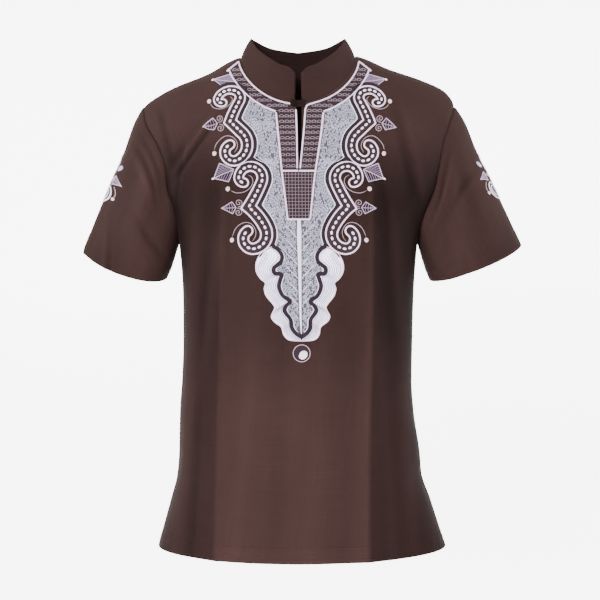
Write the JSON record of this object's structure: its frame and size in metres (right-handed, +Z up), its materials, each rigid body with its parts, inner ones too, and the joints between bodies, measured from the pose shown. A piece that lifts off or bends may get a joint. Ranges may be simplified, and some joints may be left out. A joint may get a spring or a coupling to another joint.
{
  "type": "dashiki shirt",
  "caption": "Short-sleeved pullover tunic, filled out as worn, with a stand collar, a slit neck, embroidery and side vents.",
  "frame": {"origin": "middle of the neck opening, level with the points where the shoulder seams meet the collar", "axes": "+Z up, -Y out of the chest, +X towards the wearer's left"},
  "size_m": [0.6524, 0.2465, 0.7651],
  "materials": {
    "cloth": "plain weave, dull with a faint sheen",
    "button": "satin",
    "embroidery": "satin-stitched thread"
  },
  "bodies": {
    "root": {"front": "cloth", "back": "cloth", "sleeve_left": "cloth", "sleeve_right": "cloth", "collar": "cloth", "button_tab": "cloth", "button": "button"}
  },
  "joints": []
}
